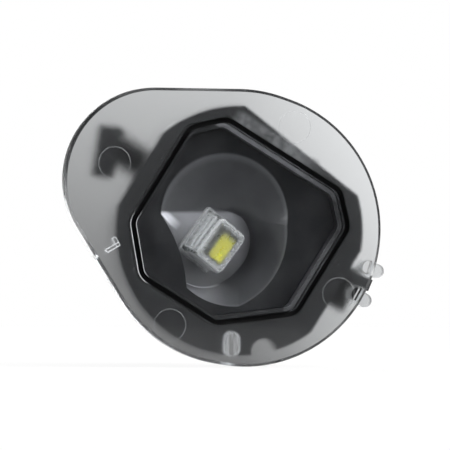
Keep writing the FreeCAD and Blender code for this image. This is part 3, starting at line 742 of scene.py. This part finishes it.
class PUDDLE_OT_reflector(bpy.types.Operator):
    """Dark reflector: black shelf, satin bowl with painted light on its left and a painted highlight on
    its rim, and a grey floor with painted light above the emitter and painted highlights at its edges
    """

    bl_idname = "puddle.reflector"
    bl_label = "Reflector"

    def execute(self, context):
        settings = context.scene.puddle_plastic
        middle, _, across, out_way = emitter_axes(context.scene.puddle_emitter)
        material, graph, shader = new_material("Dark reflector")
        place = graph.place()
        depth = graph.beyond(place, BACK, BACK * settings.shelf_depth)
        above = graph.beyond(place, out_way, middle)
        upward = graph.beyond(place, across, middle)
        in_bowl = graph.span(depth, 0.03, 0.15)

        # Wall: painted light makes it paler to the left, a painted highlight makes its rim paler, and
        # painted light makes a pale crescent at its lower left
        leftward = graph.beyond(place, -RIGHT, -RIGHT * MM)
        wall = graph.blend(graph.span(leftward, 0.0, 9.0, 0.0, 0.45), settings.bowl, settings.painted_bowl_light)
        painted_rim_highlight = graph.fall(depth, 0.1, 0.5)
        wall = graph.blend(painted_rim_highlight, wall, settings.painted_bowl_light)
        fade = graph.fall(graph.beyond(place, RIGHT), -6.0, -0.5)
        height = graph.beyond(place, UP)
        painted_crescent_light = graph.product(in_bowl, fade, graph.span(height, -8.6, -8.1, 0.6, 0.0))
        wall = graph.blend(painted_crescent_light, wall, settings.painted_light_grey)

        # Floor: grey below the emitter, and paler above it from painted light
        low = graph.product(in_bowl, graph.fall(height, 2.4, 2.9))
        on_floor = graph.product(low, graph.band(above, -0.4, -0.2, 0.03, 0.15))
        painted_floor_light_share = graph.span(upward, -2.5, 1.0)
        floor = graph.blend(painted_floor_light_share, settings.floor, settings.painted_light_grey)
        colour = graph.blend(on_floor, graph.blend(in_bowl, settings.shelf, wall), floor)

        # Painted highlights, which also glow: a bright line at the floor's foot and a bright wedge at its
        # tip
        foot = graph.product(
            graph.band(above, 0.12, 0.2, 0.7, 0.85),
            graph.fall(upward, -4.6, -3.8),
            in_bowl,
            fade,
        )
        tip = Vector((-10.2 * MM, 0.0, 2.5 * MM))
        tip_way, tip_side = Vector((0.78, 0.0, -0.62)), Vector((0.62, 0.0, 0.78))
        wedge = graph.product(
            graph.band(graph.beyond(place, tip_side, tip), -0.5, -0.2, 0.5, 1.0),
            graph.fall(graph.beyond(place, tip_way, tip), 1.4, 3.6),
            graph.fall(above, 0.3, 0.6),
            low,
        )
        painted_highlight = graph.greatest(foot, wedge)
        colour = graph.blend(painted_highlight, colour, settings.painted_glint)
        pale = graph.blend(0.12, colour, (0.5, 0.5, 0.52, 1.0))
        wear_skin(graph, shader, colour, pale,
                  rough=0.32, spread=0.06, grain=7000.0, depth=0.01 * MM, strength=0.3)
        graph.fill(shader, {
            "Emission Color": graph.blend(painted_highlight, BLACK, settings.painted_glint),
            "Emission Strength": settings.painted_highlight_glow,
            "Coat Weight": graph.product(in_bowl, 0.6),
            "Coat Roughness": 0.08,
        })
        dress(["reflector"], material)
        return {"FINISHED"}


def deeper(colour, shares):
    """Colour with each of its parts times a share."""
    return tuple(part * share for part, share in zip(colour, shares))


def yellow_phosphor(settings):
    """Grained yellow in patches, with painted shade that turns it grey-green towards its edges, most along
    its left side and top.
    """
    middle, floor_way, across, _ = cap_axes(settings)
    material, graph, shader = new_material("Yellow phosphor")
    place = graph.place()
    grain = graph.noise(place, 5200.0, 4.0, 0.6)
    patch = graph.span(graph.noise(place, 700.0), 0.35, 0.7)
    yellow = graph.blend(patch, settings.phosphor, deeper(settings.phosphor, (0.86, 0.8, 0.6, 1.0)))
    half_wide, half_long = (size / 2 / MM for size in settings.phosphor_size)
    side = graph.beyond(place, floor_way, middle + floor_way * settings.phosphor_shift)
    tall = graph.beyond(place, across, middle)
    # Share of plain yellow; painted shade turns the rest grey-green towards the edges
    full = graph.product(
        graph.span(side, -half_wide, -half_wide + 0.6),
        graph.fall(side, half_wide - 0.3, half_wide, 0.6),
        graph.fall(tall, half_long - 1.0, half_long, 0.1),
        graph.span(tall, -half_long, -half_long + 0.3, 0.6, 1.0),
    )
    graph.fill(shader, {
        "Base Color": graph.blend(full, settings.painted_phosphor_shade, yellow),
        "Roughness": graph.mottle(grain, 0.42, 0.6),
        "Normal": graph.bump(grain, 0.4, 0.02 * MM),
    })
    return material


def pale_base(settings):
    """Chalky ceramic with a dark top."""
    middle, _, _, out_way = cap_axes(settings)
    material, graph, shader = new_material("Pale base")
    place = graph.place()
    chalk = graph.noise(place, 3000.0, 3.0, 0.5)
    pale = graph.blend(chalk, settings.base, deeper(settings.base, (0.85, 0.85, 0.85, 1.0)))
    above = graph.beyond(place, out_way, middle)
    height = settings.base_top / MM
    top = graph.span(above, height - 0.08, height - 0.03)
    graph.fill(shader, {
        "Base Color": graph.blend(top, pale, settings.pad),
        "Roughness": graph.mottle(chalk, 0.5, 0.65),
    })
    return material


def clear_cap(settings):
    """Clear silicone with a slight ripple, frosted on its lower side."""
    middle, _, across, _ = cap_axes(settings)
    material, graph, shader = new_material("Clear cap")
    place = graph.place()
    ripple = graph.noise(place, 900.0)
    low_side = graph.beyond(place, -across, middle - across * (settings.cap_size[1] / 2))
    frost = graph.span(low_side, -0.2, -0.05, 0.0, 0.5)
    graph.fill(shader, {
        "Base Color": settings.cap,
        "Roughness": graph.math("ADD", frost, graph.mottle(ripple, 0.24, 0.32)),
        "Normal": graph.bump(ripple, 0.15, 0.05 * MM),
        "IOR": CAP_INDEX,
        "Transmission Weight": 0.95,
    })
    let_lamps_through(graph, shader, 0.9)
    return material


def cap_bead(settings, inset, rise, corner, tube, sides):
    """Bead round the cap: a rounded rectangle inset from its sides, at a rise above the floor."""
    middle, floor_way, across, out_way = cap_axes(settings)
    half_floor, half_across = settings.cap_size[0] / 2, settings.cap_size[1] / 2
    flat = rounded_loop(half_floor - inset, half_across - inset, corner, steps=10)
    return bead(laid(flat, middle + out_way * rise, floor_way, across), out_way, tube, sides)


class PUDDLE_OT_emitter(bpy.types.Operator):
    """Yellow emitter on its pale base, under a clear cap with painted highlights on its edges and left
    side, and painted light round its foot
    """

    bl_idname = "puddle.emitter"
    bl_label = "Emitter"

    def execute(self, context):
        settings = context.scene.puddle_emitter
        dress(["led_phosphor"], yellow_phosphor(settings))
        dress(["led_base"], pale_base(settings))
        dress(["led_cap"], clear_cap(settings))

        middle, floor_way, across, out_way = cap_axes(settings)
        half_floor, half_across = settings.cap_size[0] / 2, settings.cap_size[1] / 2
        height = settings.cap_size[2]
        # Painted highlights on the cap's outer and inner front edges
        edge = cap_bead(settings, inset=0.36 * MM, rise=height - 0.34 * MM,
                        corner=0.6 * MM, tube=0.22 * MM, sides=8)
        inner_edge = cap_bead(settings, inset=settings.cap_wall, rise=height - 0.6 * MM,
                              corner=0.6 * MM, tube=0.08 * MM, sides=8)
        bead_piece("cap_edge_highlights", [edge, inner_edge], whitening_and_highlight("Painted cap edge highlight", 0.55))

        # Painted highlight streaks along the cap's left side, partly sunk into it
        streaks = []
        tube, sunk, corner = 0.13 * MM, 0.08 * MM, 0.3 * MM
        for half_long, half_tall, rise in (
            (half_across - 0.6 * MM, 1.3 * MM, 1.9 * MM),
            (half_across - 0.9 * MM, 0.4 * MM, 2.5 * MM),
        ):
            flat = rounded_loop(half_long, half_tall, corner, steps=8)
            side = middle - floor_way * (half_floor - sunk) + out_way * rise
            streaks.append(bead(laid(flat, side, across, out_way), -floor_way, tube))
        bead_piece("cap_streak_highlights", streaks, whitening_and_highlight("Painted cap side highlight", 0.95))

        # Painted light in a bead round the cap's foot, over the shade and the dark gap there
        seal = cap_bead(settings, inset=-0.15 * MM, rise=0.16 * MM,
                        corner=0.4 * MM, tube=0.3 * MM, sides=12)
        bead_piece("cap_foot_light", [seal], whitening_and_highlight("Painted cap foot light", 0.4))
        # Painted highlight in a broad band round the cap's top
        border = cap_bead(settings, inset=0.6 * MM, rise=height - 0.5 * MM,
                          corner=0.9 * MM, tube=0.46 * MM, sides=12)
        bead_piece("cap_border_highlight", [border], whitening_and_highlight("Painted cap border highlight", 0.3))
        return {"FINISHED"}


class PUDDLE_OT_boards(bpy.types.Operator):
    """Green driver board with a woven core, and the emitter's white board"""

    bl_idname = "puddle.boards"
    bl_label = "Boards"

    def execute(self, context):
        material, graph, shader = new_material("Green mask")
        place = graph.place()
        wave = graph.add("ShaderNodeTexWave", wave_type="BANDS", bands_direction="DIAGONAL")
        weave = graph.fill(wave, {"Vector": place, "Scale": 900.0, "Distortion": 1.5}).outputs["Fac"]
        blot = graph.noise(place, 420.0, 3.0, 0.5)
        share = graph.math("MULTIPLY_ADD", weave, 0.25, graph.product(blot, 0.5))
        graph.fill(shader, {
            "Base Color": graph.blend(share, (0.02, 0.09, 0.045, 1.0), (0.05, 0.16, 0.09, 1.0)),
            "Roughness": graph.mottle(blot, 0.25, 0.4),
            "Normal": graph.bump(weave, 0.2, 0.02 * MM),
        })
        dress(["driver_board"], material)

        material, graph, shader = new_material("White mask")
        blot = graph.noise(graph.place(), 700.0, 3.0, 0.5)
        graph.fill(shader, {
            "Base Color": graph.blend(blot, (0.82, 0.83, 0.82, 1.0), (0.72, 0.73, 0.72, 1.0)),
            "Roughness": graph.mottle(blot, 0.3, 0.45),
        })
        dress(["led_board"], material)
        return {"FINISHED"}


class PUDDLE_OT_driver(bpy.types.Operator):
    """Regulator, diode, resistors and capacitors of the driver"""

    bl_idname = "puddle.driver"
    bl_label = "Driver parts"

    def execute(self, context):
        for nodes, name, colour, pale, rough, grain in (
            (["regulator", "diode"], "Black epoxy",
             (0.02, 0.02, 0.021, 1.0), (0.05, 0.05, 0.05, 1.0), 0.5, 12000.0),
            (["resistors"], "Dark glaze",
             (0.03, 0.03, 0.034, 1.0), (0.07, 0.07, 0.08, 1.0), 0.3, 9000.0),
            (["capacitors"], "Tan ceramic",
             (0.36, 0.25, 0.14, 1.0), (0.46, 0.34, 0.22, 1.0), 0.4, 9000.0),
        ):
            material, graph, shader = new_material(name)
            wear_skin(graph, shader, colour, pale, rough, spread=0.1, grain=grain, depth=0.01 * MM)
            shader.inputs["IOR"].default_value = PLASTIC_INDEX
            dress(nodes, material)
        return {"FINISHED"}


def metal(name, colour, dark, rough, scale):
    """Drawn or plated metal: fine streaks along one way and patches of dulled plating."""
    material, graph, shader = new_material(name)
    place = graph.place()
    streak = graph.noise(graph.stretch(place, scale), 9000.0, 3.0, 0.6)
    dull = graph.span(graph.noise(place, 900.0, 3.0, 0.6), 0.4, 0.75)
    graph.fill(shader, {
        "Base Color": graph.blend(dull, colour, dark),
        "Roughness": graph.math("MULTIPLY_ADD", streak, 0.18, rough),
        "Normal": graph.bump(streak, 0.2, 0.01 * MM),
        "Metallic": 1.0,
    })
    return material


class PUDDLE_OT_metals(bpy.types.Operator):
    """Blades, flat leads and screws"""

    bl_idname = "puddle.metals"
    bl_label = "Metal parts"

    def execute(self, context):
        for nodes, name, colour, dark, rough, scale in (
            (["terminal_plus", "terminal_minus"], "Tinned blade",
             (0.66, 0.65, 0.62, 1.0), (0.5, 0.48, 0.43, 1.0), 0.2, (1.0, 0.05, 1.0)),
            (["lead_plus", "lead_minus"], "Copper lead",
             (0.72, 0.42, 0.28, 1.0), (0.45, 0.25, 0.16, 1.0), 0.25, (0.2, 0.2, 1.0)),
            (["board_screws"], "Zinc screw",
             (0.6, 0.61, 0.62, 1.0), (0.42, 0.43, 0.45, 1.0), 0.28, (1.0, 1.0, 1.0)),
        ):
            dress(nodes, metal(name, colour, dark, rough, scale))
        return {"FINISHED"}


def flat_piece(name, middle, first, second, material):
    """Square sheet of the stage: its middle less or plus each of two half sides."""
    near, far = middle - second, middle + second
    corners = [near - first, near + first, far + first, far - first]
    mesh = bpy.data.meshes.new(name)
    mesh.from_pydata(corners, [], [(0, 1, 2, 3)])
    mesh.materials.append(material)
    piece = bpy.data.objects.new(name, mesh)
    bpy.context.scene.collection.objects.link(piece)
    return piece


def white_floor():
    """White paper, aglow as the camera sees it and shaded as it is seen through the lens."""
    material, graph, shader = new_material("White floor")
    paper = graph.noise(graph.place(), 300.0, 3.0, 0.5)
    graph.fill(shader, {
        "Base Color": graph.blend(paper, (0.86, 0.86, 0.86, 1.0), (0.9, 0.9, 0.9, 1.0)),
        "Roughness": 0.9,
    })
    glow = graph.fill(graph.add("ShaderNodeEmission"), {"Color": WHITE})
    shade = graph.fill(graph.add("ShaderNodeEmission"), {"Color": (0.15, 0.15, 0.15, 1.0)})
    path = graph.add("ShaderNodeLightPath").outputs
    dim = graph.mix(graph.product(path["Is Transmission Ray"], 0.85), shader, shade)
    graph.show(graph.mix(graph.product(path["Is Camera Ray"], 0.88), dim, glow))
    return material


def shaded_card(settings, middle_x):
    """Glow that grows from its level to the right and up and falls to the left, held from 0.1 to 1."""
    to_right, from_left, upward = settings.card_slope
    material, graph, shader = new_material("Shaded card")
    place = graph.place()
    aside = graph.beyond(place, RIGHT, RIGHT * middle_x)
    right = graph.product(graph.math("MAXIMUM", aside, 0.0), to_right)
    left = graph.product(graph.math("MINIMUM", aside, 0.0), from_left)
    level = graph.math("MULTIPLY_ADD", graph.beyond(place, UP), upward, settings.card_level)
    level = graph.math("ADD", graph.math("ADD", right, left), level)
    graph.fill(shader, {
        "Base Color": BLACK,
        "Specular IOR Level": 0.0,
        "Emission Color": WHITE,
        "Emission Strength": graph.math("MINIMUM", graph.math("MAXIMUM", level, 0.1), 1.0),
    })
    return material


def white_room(ambient):
    """World that is white to the camera, and through the lens to the back and the left, and else dim."""
    world = bpy.data.worlds.new("Room")
    world.use_nodes = True
    world.node_tree.nodes.clear()
    graph = Graph(world.node_tree)
    dim = graph.fill(graph.add("ShaderNodeBackground"), {"Color": WHITE, "Strength": ambient})
    white = graph.fill(graph.add("ShaderNodeBackground"), {"Color": WHITE})
    way = graph.add("ShaderNodeTexCoord").outputs["Generated"]
    leftward = graph.math("MAXIMUM", graph.beyond(way, -RIGHT), 0.0)
    behind = graph.math("GREATER_THAN", graph.math("ADD", graph.beyond(way, BACK), leftward), 0.0)
    path = graph.add("ShaderNodeLightPath").outputs
    through = graph.product(path["Is Transmission Ray"], behind)
    seen = graph.mix(graph.greatest(path["Is Camera Ray"], through), dim, white)
    graph.put(graph.add("ShaderNodeOutputWorld").inputs["Surface"], seen.outputs[0])
    return world


def lamp(name, place, size, power):
    """Square soft light at a place, turned to the origin."""
    data = bpy.data.lights.new(name, "AREA")
    data.size = size
    data.energy = power
    piece = bpy.data.objects.new(name, data)
    piece.location = place
    piece.rotation_euler = (-Vector(place)).to_track_quat("-Z", "Y").to_euler()
    bpy.context.scene.collection.objects.link(piece)


class PUDDLE_OT_stage(bpy.types.Operator):
    """White floor and room, a shaded card seen only through the lens, four soft lights and the camera"""

    bl_idname = "puddle.stage"
    bl_label = "Stage"

    def execute(self, context):
        settings = context.scene.puddle_stage
        floor_reach, floor_gap = 0.4, 0.2 * MM
        low = CAD_BOX[0][2] - floor_gap
        flat_piece("floor", UP * low, RIGHT * floor_reach, BACK * floor_reach, white_floor())

        card_reach, card_gap = 0.2, 2.0 * MM
        rear = CAD_BOX[1][1] + card_gap
        material = shaded_card(settings, rear * math.tan(-settings.turn))
        card = flat_piece("card", BACK * rear, RIGHT * card_reach, UP * card_reach, material)
        card.visible_camera = False
        card.visible_diffuse = False
        card.visible_glossy = False
        card.visible_shadow = False

        context.scene.world = white_room(settings.ambient)
        lamp("key", (0.375, -0.293, 0.275), 0.30, settings.key)
        lamp("fill", (-0.44, -0.34, 0.08), 0.35, settings.fill)
        lamp("top", (0.10, -0.22, 0.52), 0.30, settings.fill)
        lamp("rear", (-0.15, 0.50, 0.35), 0.35, settings.key)

        data = bpy.data.cameras.new("camera")
        data.sensor_width = 36.0
        data.lens = data.sensor_width * settings.distance / settings.view_width
        data.clip_end = 20.0
        camera = bpy.data.objects.new("camera", data)
        way = RIGHT * math.sin(settings.turn) - BACK * math.cos(settings.turn)
        camera.location = Vector(settings.aim) + way * settings.distance
        camera.rotation_euler = (-way).to_track_quat("-Z", "Y").to_euler()
        context.scene.collection.objects.link(camera)
        context.scene.camera = camera
        context.scene.view_settings.view_transform = "Standard"
        return {"FINISHED"}


OPERATORS = (
    PUDDLE_OT_lens,
    PUDDLE_OT_housing,
    PUDDLE_OT_reflector,
    PUDDLE_OT_emitter,
    PUDDLE_OT_boards,
    PUDDLE_OT_driver,
    PUDDLE_OT_metals,
    PUDDLE_OT_stage,
)
GROUPS = {
    "puddle_lens": LensSettings,
    "puddle_plastic": PlasticSettings,
    "puddle_emitter": EmitterSettings,
    "puddle_stage": StageSettings,
}


class PUDDLE_PT_sidebar(bpy.types.Panel):
    """Pieces of the puddle light, in the order they are made, and their settings"""

    bl_idname = "PUDDLE_PT_sidebar"
    bl_label = "Puddle Light"
    bl_space_type = "VIEW_3D"
    bl_region_type = "UI"
    bl_category = "Puddle Light"

    def draw(self, context):
        for operator in OPERATORS:
            self.layout.operator(operator.bl_idname)
        for name, group in GROUPS.items():
            for setting in group.__annotations__:
                self.layout.prop(getattr(context.scene, name), setting)


def register():
    """Adds the settings, the operators and the panel."""
    for name, group in GROUPS.items():
        bpy.utils.register_class(group)
        setattr(bpy.types.Scene, name, PointerProperty(type=group))
    for operator in OPERATORS:
        bpy.utils.register_class(operator)
    bpy.utils.register_class(PUDDLE_PT_sidebar)


def unregister():
    """Takes away what register adds."""
    bpy.utils.unregister_class(PUDDLE_PT_sidebar)
    for operator in reversed(OPERATORS):
        bpy.utils.unregister_class(operator)
    for name, group in GROUPS.items():
        delattr(bpy.types.Scene, name)
        bpy.utils.unregister_class(group)


def main():
    """Makes every piece in order."""
    register()
    bpy.ops.puddle.lens()
    bpy.ops.puddle.housing()
    bpy.ops.puddle.reflector()
    bpy.ops.puddle.emitter()
    bpy.ops.puddle.boards()
    bpy.ops.puddle.driver()
    bpy.ops.puddle.metals()
    bpy.ops.puddle.stage()


if __name__ == "__main__":
    main()
